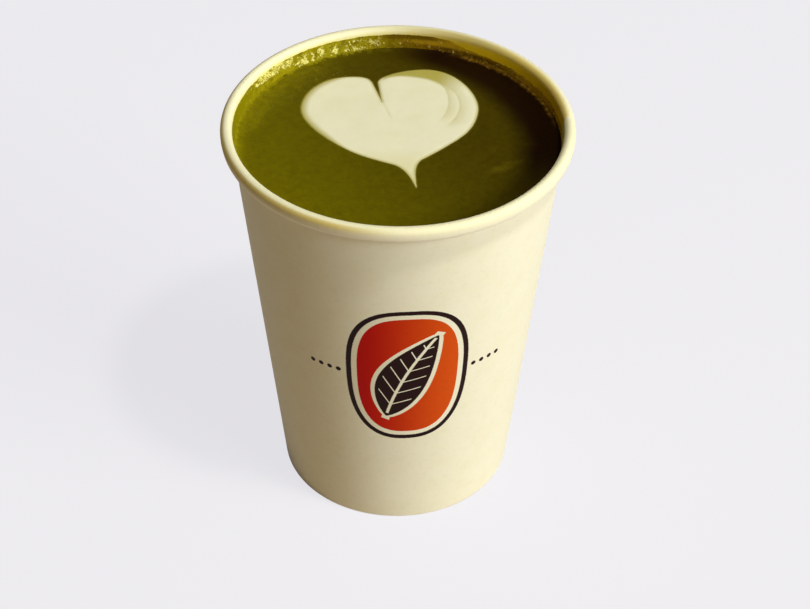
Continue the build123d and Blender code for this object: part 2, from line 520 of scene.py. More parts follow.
def board_shape(name, run_steps, first_steps, second_steps, sizes):
    """A strip of board, run, bent, run and bent again, turned about the axis, with its lapped seam."""
    # Each piece gives its own sizes over these, in metres and radians.
    shape = Shape(name, {
        "Start Radius": 0.03, "Start Height": 0.01, "Heading": 0.0,
        "First Run": 0.01, "First Turn": 1.0, "First Bend": 0.001,
        "Second Run": 0.1, "Second Turn": 1.0, "Second Bend": 0.001, "Second Drop": 0.0,
        "Board": 0.0004, "Lap Start": 0.0, "Lap Turn": 0.1, "Lap Rise": 0.0, "Lap Fade": 0.1,
        "Columns": 288, "Finish": board_finish(name),
    } | sizes)
    get = shape.input
    ends = [run_steps, run_steps + first_steps, 2 * run_steps + first_steps]
    last = ends[2] + second_steps

    def heading(step):
        """Which way the strip runs, in the plane of its profile."""
        first = ((step - ends[0]) / first_steps).held() * get("First Turn")
        second = ((step - ends[2]) / second_steps).held() * get("Second Turn")
        return get("Heading") + first + second

    # The strip's middle line, added up from short steps.
    line = shape.add("GeometryNodeMeshLine", {"Count": last + 1})
    step = shape.add("GeometryNodeInputIndex")
    first_chord = 2 * get("First Bend") * (abs(get("First Turn")) / (2 * first_steps)).sine()
    second_chord = 2 * get("Second Bend") * (abs(get("Second Turn")) / (2 * second_steps)).sine()
    # The second bend has a straight stretch at its half turn, shared by the two steps next to it.
    step_turn = abs(get("Second Turn")) / second_steps
    turned = (step - 0.5 - ends[2]) * step_turn
    straight = (1 - abs(turned - math.pi) / step_turn).held() * get("Second Drop")
    before = [step < end + 0.5 for end in ends]
    length = (
        before[0] * get("First Run") / run_steps
        + (before[1] - before[0]) * first_chord
        + (before[2] - before[1]) * get("Second Run") / run_steps
        + (1 - before[2]) * (second_chord + straight)
    ) * (step > 0.5)
    way = heading(step - 0.5)

    def added_up(value):
        return shape.add("GeometryNodeAccumulateField", {"Value": value}, "Leading", data_type="FLOAT")

    middle = shape.add("ShaderNodeCombineXYZ", {
        "X": get("Start Radius") + added_up(way.cosine() * length),
        "Z": get("Start Height") + added_up(way.sine() * length),
    })
    profile = shape.add("GeometryNodeSetPosition", {"Geometry": line, "Position": middle})

    # A grid whose rows go up one face of the board and back down the other.
    around = 2 * last + 2
    grid = shape.add("GeometryNodeMeshGrid", {"Vertices X": get("Columns") + 1, "Vertices Y": around + 1})
    index = shape.add("GeometryNodeInputIndex")
    column = ((index + 0.5) / (around + 1)).whole()
    row = (index % (around + 1)) % around
    along = last + 0.5 - abs(row - (last + 0.5))
    outside = row < last + 0.5
    face = outside * 2 - 1
    sampled = {"Geometry": profile, "Value": shape.add("GeometryNodeInputPosition"), "Index": along}
    place = shape.add("ShaderNodeSeparateXYZ", {
        0: shape.add("GeometryNodeSampleIndex", sampled, data_type="FLOAT_VECTOR"),
    })

    # The lap's rise fades where the brim turns over.
    angle, lapped, easing = lapped_columns(get, column)
    fade_steps = 8
    over_brim = (along - ends[2] - 0.35 * second_steps) / fade_steps
    on_wall = (along - ends[1]).held() * (1 - over_brim).held(0.25)
    rise = get("Lap Rise") * on_wall * (outside * lapped + easing)

    way = heading(along)
    out = face * get("Board") / 2 + rise
    radius = (place + way.sine() * out).most(0)
    height = place.other("Z") - way.cosine() * out
    spot = shape.add("ShaderNodeCombineXYZ", {
        "X": radius * angle.cosine(), "Y": radius * angle.sine(), "Z": height,
    })
    skin = shape.add("GeometryNodeSetPosition", {"Geometry": grid, "Position": spot})
    skin = shape.stored(skin, "inner_face", 1 - outside)
    skin = shape.stored(skin, "strip", along / last)
    shape.finish(shape.add("GeometryNodeMergeByDistance", {"Geometry": skin, "Distance": 0.004 * MM}))
    return shape


def badge_print(finish, board):
    """A generic badge with a tea leaf, printed on the front of the wall, and a row of dots each side."""
    colours = bpy.context.scene.matcha_colours
    front_radius, centre_u, centre_v = 36.5, 2.95, 56.3
    u = finish.x.arctan2(finish.y * -1) * front_radius - centre_u
    v = finish.z / MM - centre_v
    wide, tall, power = 15.9, 23.8, 2.6

    # Distance in from the badge's edge, in millimetres.
    p = abs(u) / wide
    q = abs(v) / tall
    total = (p ** power + q ** power).most(0.001)
    f = total ** (1 / power)
    lift = f ** (1 - power)
    fall = (((p ** (power - 1)) / wide) ** 2 + ((q ** (power - 1)) / tall) ** 2) ** 0.5
    inside = (1 - f) / (lift * fall).most(0.01)
    fuzz = (finish.noise(2600, 2) - 0.5) * 0.16
    edge = inside + fuzz

    def from_edge(start, end):
        """1 between two distances in from the edge."""
        return edge.eased(start - 0.09, start + 0.09) * edge.eased(end + 0.09, end - 0.09)

    # The leaf: two arcs that meet in a stalk below and a point above.
    tilt = math.radians(24)
    across = u * math.cos(tilt) - v * math.sin(tilt)
    up = u * math.sin(tilt) + v * math.cos(tilt)
    long, broad = 16.0, 6.3
    share = (1 - (up / long) ** 2).most(0)
    half = broad * share ** 0.85 * (1 - up / long * 0.28)
    bow = up * up * 0.006 - 0.6
    off = abs(across - bow)
    leaf = (half - off + fuzz).least(long - abs(up))
    rib = (off + fuzz).eased(0.5, 0.3) * (abs(up) < long * 0.93)
    vein_beat = (up - off * 0.85 + 40) % 4.4
    veins = abs(vein_beat - 2.2).eased(0.26, 0.12) * (off < half - 1.1) * (abs(up) < long * 0.78)
    leaf_fill = leaf.eased(-0.09, 0.09)
    leaf_edge = leaf.eased(-1.25, -1.05)

    # Four dots on each side of the badge.
    beat = abs((abs(u + 0.2) + 0.8) % 2.5 - 1.25)
    reach = abs(u + 0.2)
    dot = (beat ** 2 + v ** 2) ** 0.5
    dots = (dot + fuzz).eased(0.78, 0.62) * (reach > 17.1) * (reach < 26.7)

    front = (1 - finish.attribute("inner_face").eased(0.2, 0.3)) * (finish.y < 0)
    ink_grain = finish.noise(900, 4)
    side = (u / wide * 0.5 + 0.5).eased(0.1, 0.95)
    fill = finish.mix(side, colours.badge_left, colours.badge_right)
    fill = finish.shade(fill, 0.92 + ink_grain * 0.16)
    badge = edge.eased(2.71, 2.89)
    border = from_edge(-0.05, 1.35)
    cream = finish.shade(board, 0.98)
    lines = (rib * leaf_fill).most(veins * leaf_fill)
    ink = colours.ink
    paint = finish.layered(
        board,
        (badge * front, fill),
        (border * front, ink),
        (leaf_edge * badge * front, cream),
        (leaf_fill * front, ink),
        (lines * front, cream),
        (dots * front, ink),
    )
    return paint, badge.most(border).most(dots) * front


def inside_layers(finish, strip, inner, mottled):
    """The colours of the wall's inner face and of the brim's roll, from the lowest layer up.

    The strip is 0.56 where the roll begins, 0.7 at its top and 1 at the edge of the board.
    """
    colours = bpy.context.scene.matcha_colours
    drips = finish.noise(420, 4, 0.6, vector=finish.drawn_out(0.3))
    near = (finish.z + (drips - 0.5) * MM).eased(CUP_HEIGHT - 0.3 * MM, LEVEL + 3.6 * MM)
    side = finish.x_mm.eased(-14, 18) * finish.y_mm.eased(2.6, 3.4)
    # Painted shade: the brim's inner slope at the back, which faces away from the lamps, is painted
    # olive-gold.
    painted_slope_shade = finish.mix(finish.x_mm.eased(20, 36), colour(186, 166, 82), colour(236, 208, 96))
    # Painted light in the stain: its strong yellow stands in for light bounced from the drink, and it is
    # brighter on the right for light that glows through the board.
    stain = finish.mix(finish.x_mm.eased(12, 32), colour(206, 172, 24), colours.stain)
    stain = finish.mix(side, colour(250, 236, 130), stain)
    # Painted shade on the roll's outside, where it faces left.
    painted_roll_shade = strip.eased(0.715, 0.765) * strip.eased(0.87, 0.8) * finish.x_mm.eased(3, -18)
    return (
        # Milk and tea have darkened the inside, more towards the drink; the stain there is also painted
        # light, and the brim's inner slope is painted shade.
        (inner, finish.shade(colours.board_inside, mottled)),
        (strip.eased(0.715, 0.635) * side * inner * 0.85, painted_slope_shade),
        (near * strip.eased(0.68, 0.6) * inner, stain),
        # The roll's outside is painted a golden shade where it faces left, away from the lamps, and is pale
        # at its lower edge.
        (painted_roll_shade * inner * 0.9, colour(216, 194, 104)),
        (strip.eased(0.79, 0.89) * inner, colour(250, 250, 236)),
    )


def board_finish(name):
    """Coated paper board: fine fibres, faint cloudiness, print on the wall's outer face."""
    finish = Finish(name + "_board")
    colours = bpy.context.scene.matcha_colours
    fibres = finish.noise(1900, 4, 0.65, vector=finish.drawn_out(0.35))
    cloud = finish.noise(160, 3)
    mottled = 0.965 + fibres * 0.07
    cloudy = finish.mix(cloud.eased(0.3, 0.75) * 0.5, colours.board, colour(240, 237, 208))
    paint = finish.shade(cloudy, mottled)
    inner = finish.attribute("inner_face").eased(0.4, 0.6)
    strip = finish.attribute("strip")
    round_cup = finish.y.arctan2(finish.x)
    rough_paper = 0.46 + fibres * 0.16
    height = fibres * 0.6 + cloud * 1.2
    if name == "cup_side":
        paint, printed = badge_print(finish, paint)
        paint = finish.layered(paint, *inside_layers(finish, strip, inner, mottled))
        rough_paper = rough_paper - printed * 0.1
        # The roll of the brim has drawn the board into faint creases.
        crease = finish.noise(1.0, 3, vector=finish.add(
            "ShaderNodeCombineXYZ", {0: round_cup.cosine() * 70, 1: round_cup.sine() * 70, 2: strip * 6},
        ))
        on_brim = strip.eased(0.66, 0.8) * inner
        height = height + crease * on_brim * 5
    # A knurled wheel pressed the hem shut.
    hem = strip.eased(0.2, 0.18) * (1 - inner)
    height = height + (round_cup * 130).sine() * hem * 3
    edge_wear = finish.noise(700, 3).eased(0.52, 0.72)
    paint = finish.shade(paint, 1 - edge_wear * 0.03)
    return finish.done(paint, rough_paper, height, 0.012 * MM, Specular_IOR_Level=0.07)


class MATCHA_OT_cup_side(bpy.types.Operator):
    """Build the side wall: hem, cone and rolled brim from one strip of board, lapped at the seam"""

    bl_idname = "matcha.cup_side"
    bl_label = "Cup Side"

    def execute(self, context):
        cup = context.scene.matcha_cup
        brim = Vector((RIM_RADIUS - cup.brim, CUP_HEIGHT - cup.brim))
        fold = (cup.board + cup.pocket) / 2
        lift = fold + cup.board / 2
        centre = below_face(lift, lift)
        folded = centre - OFF_WALL * fold
        hem_run = (cup.hem - folded.y) / UP_WALL.y
        start = folded + UP_WALL * hem_run
        lap_turn = cup.lap_width / RIM_RADIUS
        shape = board_shape("cup_side", 14, 16, 34, {
            "Start Radius": start.x, "Start Height": start.y, "Heading": -math.pi / 2 - LEAN,
            "First Run": hem_run, "First Turn": math.pi, "First Bend": fold,
            "Second Run": (brim - centre).dot(UP_WALL), "Second Turn": -cup.brim_turn,
            "Second Bend": cup.brim - cup.board / 2, "Second Drop": cup.brim_drop,
            "Board": cup.board, "Lap Rise": cup.board, "Lap Fade": math.radians(5),
            "Lap Start": cup.lap_place - lap_turn / 2, "Lap Turn": lap_turn,
            "Columns": cup.columns,
        })
        made = shape.made("cup_side")
        tidied(made.data)
        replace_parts(smooth(made, 32), "cup_wall")
        return {"FINISHED"}


class MATCHA_OT_cup_base(bpy.types.Operator):
    """Build the raised bottom: a disc whose skirt hangs in the pocket of the hem"""

    bl_idname = "matcha.cup_base"
    bl_label = "Cup Base"

    def execute(self, context):
        cup = context.scene.matcha_cup
        depth = cup.board + cup.pocket / 2
        start = below_face(cup.skirt, depth)
        centre = below_face(FLOOR_TOP - cup.board / 2 - cup.corner, depth + cup.corner)
        shape = board_shape("cup_base", 14, 10, 1, {
            "Start Radius": start.x, "Start Height": start.y, "Heading": math.pi / 2 - LEAN,
            "First Run": (centre - start).dot(UP_WALL),
            "First Turn": math.pi / 2 + LEAN, "First Bend": cup.corner,
            "Second Run": centre.x, "Second Turn": 0.0, "Second Bend": 0.0,
            "Board": cup.board, "Columns": cup.columns,
        })
        made = shape.made("cup_base")
        tidied(made.data)
        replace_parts(smooth(made, 32), "cup_bottom")
        return {"FINISHED"}


# ---------------------------------------------------------------- heart and drink


class Outline:
    """The heart's closed outline, and how far places are inside it."""

    def __init__(self, name, spacing):
        work = bmesh.new()
        work.from_mesh(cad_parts[name].data)
        bmesh.ops.remove_doubles(work, verts=work.verts, dist=SAME_PLACE)
        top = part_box(name)[1].z
        lid = {f for f in work.faces if min(v.co.z for v in f.verts) > top - 0.01 * MM}
        after = {}
        for f in lid:
            for loop in f.loops:
                if not any(other in lid for other in loop.edge.link_faces if other is not f):
                    after[loop.vert.index] = loop.link_loop_next.vert.index
        places = {v.index: v.co.xy.copy() for v in work.verts}
        work.free()
        start = spot = min(after)
        ring = []
        while spot != start or not ring:
            ring.append(places[spot])
            spot = after[spot]
        if len(ring) != len(after):
            raise RuntimeError("the heart's outline isn't one loop")
        ring = np.array(ring + ring[:1])
        lengths = np.concatenate([[0], np.cumsum(np.linalg.norm(np.diff(ring, axis=0), axis=1))])
        count = int(lengths[-1] / spacing)
        spots = np.linspace(0, lengths[-1], count, endpoint=False)
        self.ring = np.stack([np.interp(spots, lengths, ring[:, axis]) for axis in (0, 1)], axis=1)

    def inside(self, places):
        """Distance in from the outline, below 0 outside it."""
        flat = np.asarray(places)[..., :2].reshape(-1, 2)
        start, end = self.ring, np.roll(self.ring, -1, axis=0)
        step = end - start
        slant = step[:, 0] / np.where(step[:, 1] == 0, 1, step[:, 1])
        batch = 3000
        result = []
        for part in np.array_split(flat, max(1, len(flat) // batch)):
            gap = part[:, None] - start
            share = np.clip((gap * step).sum(-1) / (step * step).sum(-1), 0, 1)
            near = np.linalg.norm(gap - share[..., None] * step, axis=-1).min(1)
            crosses = (start[:, 1] > part[:, None, 1]) != (end[:, 1] > part[:, None, 1])
            reach = start[:, 0] + gap[..., 1] * slant
            odd = (crosses & (part[:, None, 0] < reach)).sum(1) % 2
            result.append(np.where(odd == 1, near, -near))
        return np.concatenate(result).reshape(np.asarray(places).shape[:-1])

    def filled(self, grain):
        """Flat triangles inside the outline: places in even rows, with two finer rows along it."""
        ring = self.ring
        low, high = ring.min(0), ring.max(0)
        grid = np.stack(np.meshgrid(
            np.arange(low[0], high[0], grain), np.arange(low[1], high[1], grain)
        ), axis=-1)
        grid[1::2, :, 0] += grain / 2
        grid = grid.reshape(-1, 2)
        rows = [ring, grid[self.inside(grid) > grain * 0.95]]
        step = np.roll(ring, -1, axis=0) - np.roll(ring, 1, axis=0)
        inward = np.stack([-step[:, 1], step[:, 0]], axis=1) / np.linalg.norm(step, axis=1)[:, None]
        for depth in (0.12 * MM, 0.26 * MM):
            near = ring + inward * depth
            rows.append(near[self.inside(near) > depth * 0.93])
        count = len(ring)
        edges = [(i, (i + 1) % count) for i in range(count)]
        spots = [Vector(p) for p in np.concatenate(rows)]
        flat, _, faces, _, _, _ = geometry.delaunay_2d_cdt(spots, edges, [], 1, 1e-7)
        return np.array([tuple(p) for p in flat]), faces


def foam_share(places, depth):
    """How much of the surface is foam, 0 in the drink to 1 in the heart, by the distance inside it."""
    left = eased(places[..., 0] / MM, -13, -19)
    return eased(depth / MM, -0.45 - 0.4 * left, 0.25)


def halo_share(places, depth):
    """How far matcha has tinted the foam: along its edge, more on the left and over the right lobe."""
    left = eased(places[..., 0] / MM, -13, -19)
    edge = (0.6 + 0.3 * left) * eased(depth / MM, 0.8 + 1.3 * left, 0.1 - 0.4 * left)
    angle = np.degrees(np.arctan2(places[..., 1] / MM - 15.6, places[..., 0] / MM - 2.4))
    wide = 0.8 + 4.2 * eased(angle, 120, 50)
    strong = eased(angle, 128, 112) * eased(angle, 20, 62)
    return np.maximum(edge, strong * eased(depth / MM, wide + 0.7, wide - 0.6))


def matcha_colour(finish):
    """The drink's colour, which thins out to the right, away from where the milk was poured; its darkening
    to the right is partly painted shade.
    """
    colours = bpy.context.scene.matcha_colours
    swirl = finish.noise(95, 4, 0.55, 0.6)
    fine = finish.noise(1400, 4, 0.7)
    specks = finish.cells(1500)
    mottle = finish.noise(480, 3, 0.6)
    # Darker towards the right: partly less fine foam, partly painted shade where the wall shades the drink.
    poured_from = 0.5
    toward = (finish.x * math.cos(poured_from) + finish.y * math.sin(poured_from)) / MM
    thin = (toward + (swirl - 0.5) * 16).eased(-40, 20)
    # A crescent along the wall is painted shadow: the shadow of the brim on the drink.
    x, y = finish.x_mm, finish.y_mm
    centre_x, centre_y = -10.7, 3.5
    off = ((x - centre_x) ** 2 + (y - centre_y) ** 2) ** 0.5 + y * 0.2
    painted_rim_shadow = (off + (swirl - 0.5) * 5).eased(37.3, 46.5) * (0.4 + 0.6 * y.eased(-30, -4)) * x.eased(-8, 10)
    # Brown froth clings along the wall there, and olive froth laps over the edge opposite.
    wall = DRINK_RADIUS / MM
    radius = (x * x + y * y) ** 0.5 + (mottle - 0.5) * 2.4
    clots = finish.noise(900, 3, 0.6)
    brown = radius.eased(wall - 1.4, wall - 0.2) * x.eased(12, 22) * y.eased(4, 14)
    olive = (radius + (clots - 0.5) * 3).eased(wall - 0.9, wall - 0.2) * x.eased(-4, -16) * y.eased(-26, -6)
    frothy = finish.mix(thin, colour(138, 130, 4), colour(98, 88, 8))
    paint = finish.layered(
        colours.matcha,
        (thin * 0.82, colours.matcha_deep_and_shaded),
        (painted_rim_shadow * 0.97, colours.matcha_painted_shadow),
        (brown * (0.35 + 0.65 * clots.eased(0.46, 0.6)), colour(132, 98, 24)),
        (olive * 0.85, colour(146, 136, 14)),
        (finish.attribute("froth").eased(0.1, 0.9) * 0.7, frothy),
    )
    grain = 0.9 + (fine - 0.5) * 0.34 + (swirl - 0.5) * 0.36 + (mottle - 0.5) * 0.6
    return finish.shade(paint, grain + specks.eased(0.1, 0.6) * 0.08), fine, specks


def matcha_finish():
    """Matcha with a skin of microfoam."""
    finish = Finish("matcha")
    colours = bpy.context.scene.matcha_colours
    paint, fine, specks = matcha_colour(finish)
    foam = finish.attribute("foam")
    ragged = foam + (finish.noise(620, 4) - 0.5) * 0.22
    paint = finish.mix(ragged.eased(0.0, 1.0) * 0.9, paint, colours.milk_edge)
    height = fine * 0.7 + specks * 0.5
    return finish.done(
        paint, 0.36 + fine * 0.16, height, 0.03 * MM,
        Specular_IOR_Level=0.12, Specular_Tint=(1.0, 0.88, 0.2, 1.0),
    )


def foam_finish():
    """Milk foam: close and matt, tinted by matcha at its edges and in the rings of the pouring."""
    finish = Finish("milk_foam")
    colours = bpy.context.scene.matcha_colours
    matcha, fine, _ = matcha_colour(finish)
    foam = finish.attribute("foam")
    pores = finish.cells(2300).eased(0.0, 0.32)
    cloud = finish.noise(130, 3)
    milk = finish.layered(
        colours.milk,
        (cloud.eased(0.35, 0.75) * 0.5, colour(237, 233, 190)),
        (finish.attribute("ring"), colour(206, 200, 136)),
        (finish.attribute("tail"), colour(234, 230, 182)),
        (finish.attribute("halo"), colours.milk_edge),
    )
    milk = finish.shade(milk, 0.955 + pores * 0.05)
    ragged = foam + (finish.noise(620, 4) - 0.5) * 0.22
    paint = finish.mix(ragged.eased(0.2, 0.8), matcha, milk)
    height = pores * 0.8 + finish.noise(900, 3) * 0.8
    return finish.done(
        paint, 0.5 + fine * 0.14, height, 0.02 * MM, Specular_IOR_Level=0.18,
        Subsurface_Weight=0.12, Subsurface_Scale=0.6 * MM, Subsurface_Radius=(1.0, 0.9, 0.5),
    )


def ring_gap(places, centre, radius, start, end):
    """Distance out from a ring in the foam, from one angle to another, and how strong it is there."""
    x = places[..., 0] / MM - centre[0]
    y = places[..., 1] / MM - centre[1]
    angle = np.degrees(np.arctan2(y, x))
    strength = eased(angle, start - 12, start + 8) * eased(angle, end + 12, end - 8)
    return np.hypot(x, y) - radius, strength


def pouring(places):
    """The rings and the crease that the pouring left in the foam: depth from 0 to 1, and stain."""
    depth = np.zeros(places.shape[:-1])
    stain = np.zeros(places.shape[:-1])
    rings = (((-3.9, 17.5), 17.06, -26, 44), ((2.45, 15.6), 13.57, -37, 36))
    for ring in rings:
        gap, strength = ring_gap(places, *ring)
        depth = np.maximum(depth, strength * np.exp(-(gap / 0.42) ** 2))
        stain = np.maximum(stain, strength * np.exp(-((gap - 0.1) / 0.34) ** 2) * 0.55)
        stain = np.maximum(stain, strength * eased(gap, -0.1, 0.4) * eased(gap, 3.0, 0.6) * 0.3)
    x, y = places[..., 0] / MM, places[..., 1] / MM
    crease_x = -3.9 + (16.3 - y) * 0.315
    crease = np.exp(-((x - crease_x) / 0.3) ** 2) * eased(y, 7.5, 12) * eased(y, 19, 16)
    return np.maximum(depth, crease * 0.8), np.maximum(stain, crease * 0.4)


def slab_mesh(name, flat, faces, top, under):
    """A closed mesh from flat triangles, given a top and an underside with a height for each corner."""
    total = len(flat)
    skin = []
    used = {}
    for a, b, c in faces:
        if np.cross(flat[b] - flat[a], flat[c] - flat[a]) < 0:
            b, c = c, b
        skin += [(a, b, c), (a + total, c + total, b + total)]
        for edge in ((a, b), (b, c), (c, a)):
            used[edge] = True
    for start, end in used:
        if (end, start) not in used:
            skin.append((end, start, start + total, end + total))
    places = np.concatenate([np.column_stack([flat, top]), np.column_stack([flat, under])])
    mesh = bpy.data.meshes.new(name)
    mesh.from_pydata(places.tolist(), [], skin)
    return mesh


class MATCHA_OT_foam_heart(bpy.types.Operator):
    """Build the heart of milk foam, with a soft edge and the rings of its pouring"""

    bl_idname = "matcha.foam_heart"
    bl_label = "Foam Heart"

    def execute(self, context):
        sizes = context.scene.matcha_drink
        outline = Outline("milk_foam_heart", sizes.grain * 0.8)
        flat, faces = outline.filled(sizes.grain)
        depth = outline.inside(flat).clip(0)
        places = np.column_stack([flat, np.zeros(len(flat))])
        groove, stain = pouring(places)
        uneven = rough(places, 7 * MM, 3) * 0.05 * MM + rough(places, 1.6 * MM, 5) * 0.012 * MM
        shoulder = np.sin(np.clip(depth / sizes.shoulder, 0, 1) * math.pi / 2)
        brink, thin, thick = 0.02 * MM, 0.25 * MM, 2.7 * MM
        top = LEVEL + brink + (sizes.crown + uneven - sizes.groove * groove) * shoulder
        under = LEVEL - thin - thick * eased(depth, 0, 2.5 * MM)
        mesh = slab_mesh("foam_heart", flat, faces, top, under)
        share = foam_share(places, depth)
        tail = eased(places[:, 1] / MM, -2, -12)
        halo = halo_share(places, depth)
        kept = {"foam": share, "halo": halo, "ring": stain, "tail": tail, "froth": share * 0}
        store(mesh, {label: np.tile(numbers, 2) for label, numbers in kept.items()})
        mesh.materials.append(foam_finish())
        made = piece("foam_heart", tidied(mesh))
        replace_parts(smooth(made, 50), "milk_foam_heart")
        return {"FINISHED"}


def froth_on_drink(places):
    """How much froth lies on the drink: along its edge, in two drifts, and a little everywhere."""
    x, y = places[..., 0] / MM, places[..., 1] / MM
    radius, angle = np.hypot(x, y), np.arctan2(y, x)
    edge = eased(radius, 38.2, 41.4) * (0.35 + 0.65 * eased(rough(places, 9 * MM, 11), -0.1, 0.5))
    froth = edge * eased(np.cos(angle - 2.8), -0.1, 0.7) * 0.9
    gap = DRINK_RADIUS / MM - radius
    wide = 4 + 10 * eased(np.degrees(angle) % 360, 186, 150)
    froth = np.maximum(froth, 0.95 * eased(gap / wide, 1, 0) * eased(np.cos(angle - 2.85), 0.5, 0.85))
    drifts = ((26.6, -10.9, 5.2, 1.7, 0.55), (-36.3, 9.5, 9.0, 2.4, 1.25))
    for centre_x, centre_y, long, wide, slant in drifts:
        u = (x - centre_x) * math.cos(slant) + (y - centre_y) * math.sin(slant)
        w = (y - centre_y) * math.cos(slant) - (x - centre_x) * math.sin(slant)
        froth = np.maximum(froth, np.exp(-(u / long) ** 2 - (w / wide) ** 2))
    return np.clip(froth * (0.75 + 0.4 * rough(places, 2.2 * MM, 13)), 0, 1)


class MATCHA_OT_drink(bpy.types.Operator):
    """Build the drink: its surface climbs at the wall and makes room for the heart"""

    bl_idname = "matcha.drink"
    bl_label = "Drink"

    def execute(self, context):
        sizes = context.scene.matcha_drink
        cup = context.scene.matcha_cup
        outline = Outline("milk_foam_heart", sizes.grain)
        angle = np.arange(0, 360) * math.tau / 360
        in_wall = 0.75 * cup.board
        edge = inner_wall(LEVEL + sizes.climb) + in_wall
        # Rings stand closer together where the drink curves up to the wall.
        spread = np.concatenate([np.linspace(0, 0.93, 96), np.linspace(0.93, 1, 26)[1:]])
        radius = (spread * edge)[:, None]
        curve = 0.85 * MM
        climb = sizes.climb * np.exp((radius - edge + in_wall) / curve).clip(0, 1)
        places = polar(radius, angle[None], LEVEL + climb)
        depth = outline.inside(places)
        calm = 1 - eased(depth, -1.2 * MM, -0.3 * MM)
        uneven = rough(places, 5 * MM, 1) + 0.35 * rough(places, 1.3 * MM, 2)
        ripple = np.sin(-depth / (1.9 * MM)) * np.exp(depth.clip(None, 0) / (5 * MM)) * 0.5
        dip = 0.03 * MM * eased(depth, 0, 0.3 * MM)
        pocket = 3.1 * MM * eased(depth, 0.4 * MM, 3 * MM)
        places[..., 2] += calm * sizes.relief * (uneven + ripple) - dip - pocket
        side = np.linspace(LEVEL + sizes.climb, FLOOR_TOP, 14)[1:]
        wall = polar((inner_wall(side) + 0.05 * MM)[:, None], angle[None], side[:, None])
        bottom_radius = inner_wall(FLOOR_TOP) * np.array([0.5, 0])
        bottom = polar(bottom_radius[:, None], angle[None], FLOOR_TOP)
        every = np.concatenate([places, wall, bottom])
        below = np.full(every.shape[:2], -1.0)
        below[:len(places)] = depth
        clear = np.hypot(every[..., 0], every[..., 1]) < inner_wall(LEVEL) - 0.25 * MM
        mesh = turned_mesh("drink", every, {
            "foam": foam_share(every, below), "froth": froth_on_drink(every) * (below > -0.5) * clear,
        })
        mesh.materials.append(matcha_finish())
        made = piece("drink", mesh)
        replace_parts(smooth(made, 60), "matcha_drink")
        return {"FINISHED"}


# ---------------------------------------------------------------- froth and residue


def bubble_shape(name, sizes):
    """Small bubbles, a little flat, scattered where there is froth, each with a tone of its own."""
    shape = Shape(name, {
        "Density": 1e5, "Smallest": 0.0001, "Largest": 0.0003, "Seed": 1, "Finish": froth_finish(name),
    } | sizes)
    get = shape.input
    base = Value(shape, shape.group.outputs["Geometry"])
    froth = shape.add(
        "GeometryNodeInputNamedAttribute", {"Name": "froth"}, "Attribute", data_type="FLOAT"
    )
    spread = {"Mesh": base, "Density": froth * froth * get("Density"), "Seed": get("Seed")}
    points = shape.add("GeometryNodeDistributePointsOnFaces", spread, distribute_method="RANDOM")

    def drawn(seed):
        return shape.add("FunctionNodeRandomValue", {"Seed": seed}, "Value_001", data_type="FLOAT")

    even = drawn(get("Seed"))
    tone = drawn(get("Seed") + 5)
    swell = get("Smallest") + (get("Largest") - get("Smallest")) * even ** 3
    bubble = shape.add("GeometryNodeMeshUVSphere", {"Segments": 8, "Rings": 5, "Radius": 1.0})
    bubble = shape.add("GeometryNodeTransform", {"Geometry": bubble, "Scale": (1, 1, 0.72)})
    scattered = shape.add("GeometryNodeInstanceOnPoints", {
        "Points": shape.stored(points, "tone", tone), "Instance": bubble,
        "Rotation": points.other("Rotation"), "Scale": swell,
    })
    real = shape.add("GeometryNodeRealizeInstances", {0: scattered})
    shape.finish(shape.add("GeometryNodeSetShadeSmooth", {"Geometry": real}))
    return shape


def froth_finish(name):
    """Bubbles: pale skins over matcha, brighter on some than on others."""
    finish = Finish(name + "_skin")
    colours = bpy.context.scene.matcha_colours
    tone = finish.attribute("tone")
    fine = finish.noise(2400, 3)
    if name == "wall_froth":
        left = (4 - finish.x_mm).eased(-6, 22)
        pale = finish.mix(left, colour(150, 114, 44), colours.froth)
        under = finish.mix(left, colours.film_dark, colour(176, 163, 30))
        paint = finish.mix((tone + (fine - 0.5) * 0.4).eased(0.35, 0.95), under, pale)
    else:
        # On the drink the bubbles darken to the right with the drink beneath them, partly painted shade.
        right = finish.x_mm.eased(-10, 30)
        low = finish.mix(right, colour(108, 100, 4), colour(72, 62, 3))
        high = finish.mix(right, colour(138, 130, 22), colour(94, 84, 10))
        paint = finish.mix(tone.eased(0.4, 1) * 0.6, low, high)
    return finish.done(paint, 0.3 + fine * 0.2, fine, 0.01 * MM, Specular_IOR_Level=0.25)


class MATCHA_OT_microfoam(bpy.types.Operator):
    """Scatter the fine bubbles that drift on the drink"""

    bl_idname = "matcha.microfoam"
    bl_label = "Microfoam"

    def execute(self, context):
        drink = bpy.data.objects["drink"]
        shape = bubble_shape("microfoam", {
            "Density": 5.5e6, "Smallest": 0.06 * MM, "Largest": 0.2 * MM,
            "Seed": context.scene.matcha_drink.seed,
        })
        shape.made("microfoam", drink.data.copy())
        return {"FINISHED"}


def residue_height(angle):
    """The residue on the wall, round from +X.

    It gives the film's height, its froth, how tall and full it stands on the left, and the
    height of the froth's middle as a share of the film's. Back is the angle from +Y towards +X.
    """
    back = np.degrees((math.pi / 2 - angle + math.pi) % math.tau - math.pi)
    left = eased(back, -130, -100) * eased(back, 34, 12)
    right = eased(back, 12, 34) * eased(back, 100, 84)
    dense = eased(back, -66, -54) * eased(back, -42, -50)
    frothy = eased(back, -70, -54) * eased(back, -2, -16) * (1 + 2.6 * dense)
    speckled = eased(back, -16, -4) * eased(back, 98, 80)
    middle = 0.45 + 0.42 * eased(back, -36, -48)
    return (0.75 + 3.6 * left + 1.4 * right) * MM, frothy + 0.4 * speckled, left, middle


